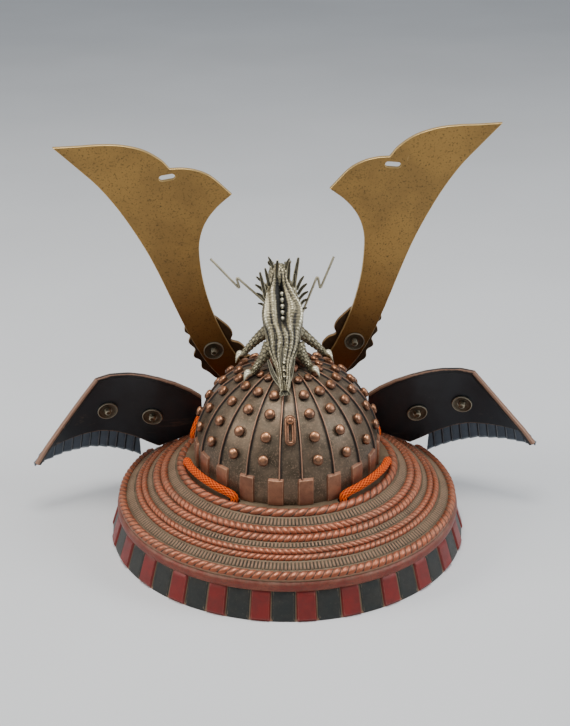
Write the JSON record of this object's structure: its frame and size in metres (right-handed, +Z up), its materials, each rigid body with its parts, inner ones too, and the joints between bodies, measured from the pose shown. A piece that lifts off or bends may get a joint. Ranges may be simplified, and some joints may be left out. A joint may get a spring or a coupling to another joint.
{
  "type": "samurai helmet ornament",
  "caption": "Small cast-metal samurai helmet with a riveted bowl, roped neck guard, black turned-back wings, tall bronze horns, a pewter dragon and an orange chin cord",
  "frame": {"origin": "middle of the helmet's box at the height of its bottom rim", "axes": "+Z is up, +Y is the way the wearer faces, +X is the wearer's right hand side"},
  "size_m": [0.3042, 0.1948, 0.2343],
  "materials": {
    "aged_copper": "aged, rubbed on the edges",
    "roped_copper": "aged, with painted panels",
    "black_lacquer": "satin, worn at the rim",
    "grey_iron": "satin",
    "gold_bronze": "brushed and darkened at the foot",
    "dark_bronze": "dark",
    "pewter": "dull cast, dark in the hollows",
    "dull_steel": "dull",
    "orange_silk": "braided"
  },
  "bodies": {
    "root": {"bowl": "aged_copper", "neck_guard": "roped_copper", "visor": "aged_copper", "chin_cord": "orange_silk", "left_wing": "black_lacquer", "left_pleated_strip": "grey_iron", "left_wing_inner_washer": "dull_steel", "left_wing_inner_screw": "dull_steel", "left_wing_outer_washer": "dull_steel", "left_wing_outer_screw": "dull_steel", "right_wing": "black_lacquer", "right_pleated_strip": "grey_iron", "right_wing_inner_washer": "dull_steel", "right_wing_inner_screw": "dull_steel", "right_wing_outer_washer": "dull_steel", "right_wing_outer_screw": "dull_steel", "horn_holder": "dark_bronze", "left_horn": "gold_bronze", "left_horn_washer": "dull_steel", "left_horn_screw": "dull_steel", "right_horn": "gold_bronze", "right_horn_washer": "dull_steel", "right_horn_screw": "dull_steel", "apex_seat": "aged_copper", "dragon": "pewter", "dragon_left_whisker": "pewter", "dragon_right_whisker": "pewter", "back_ring": "aged_copper", "ring_pin": "aged_copper"}
  },
  "joints": []
}
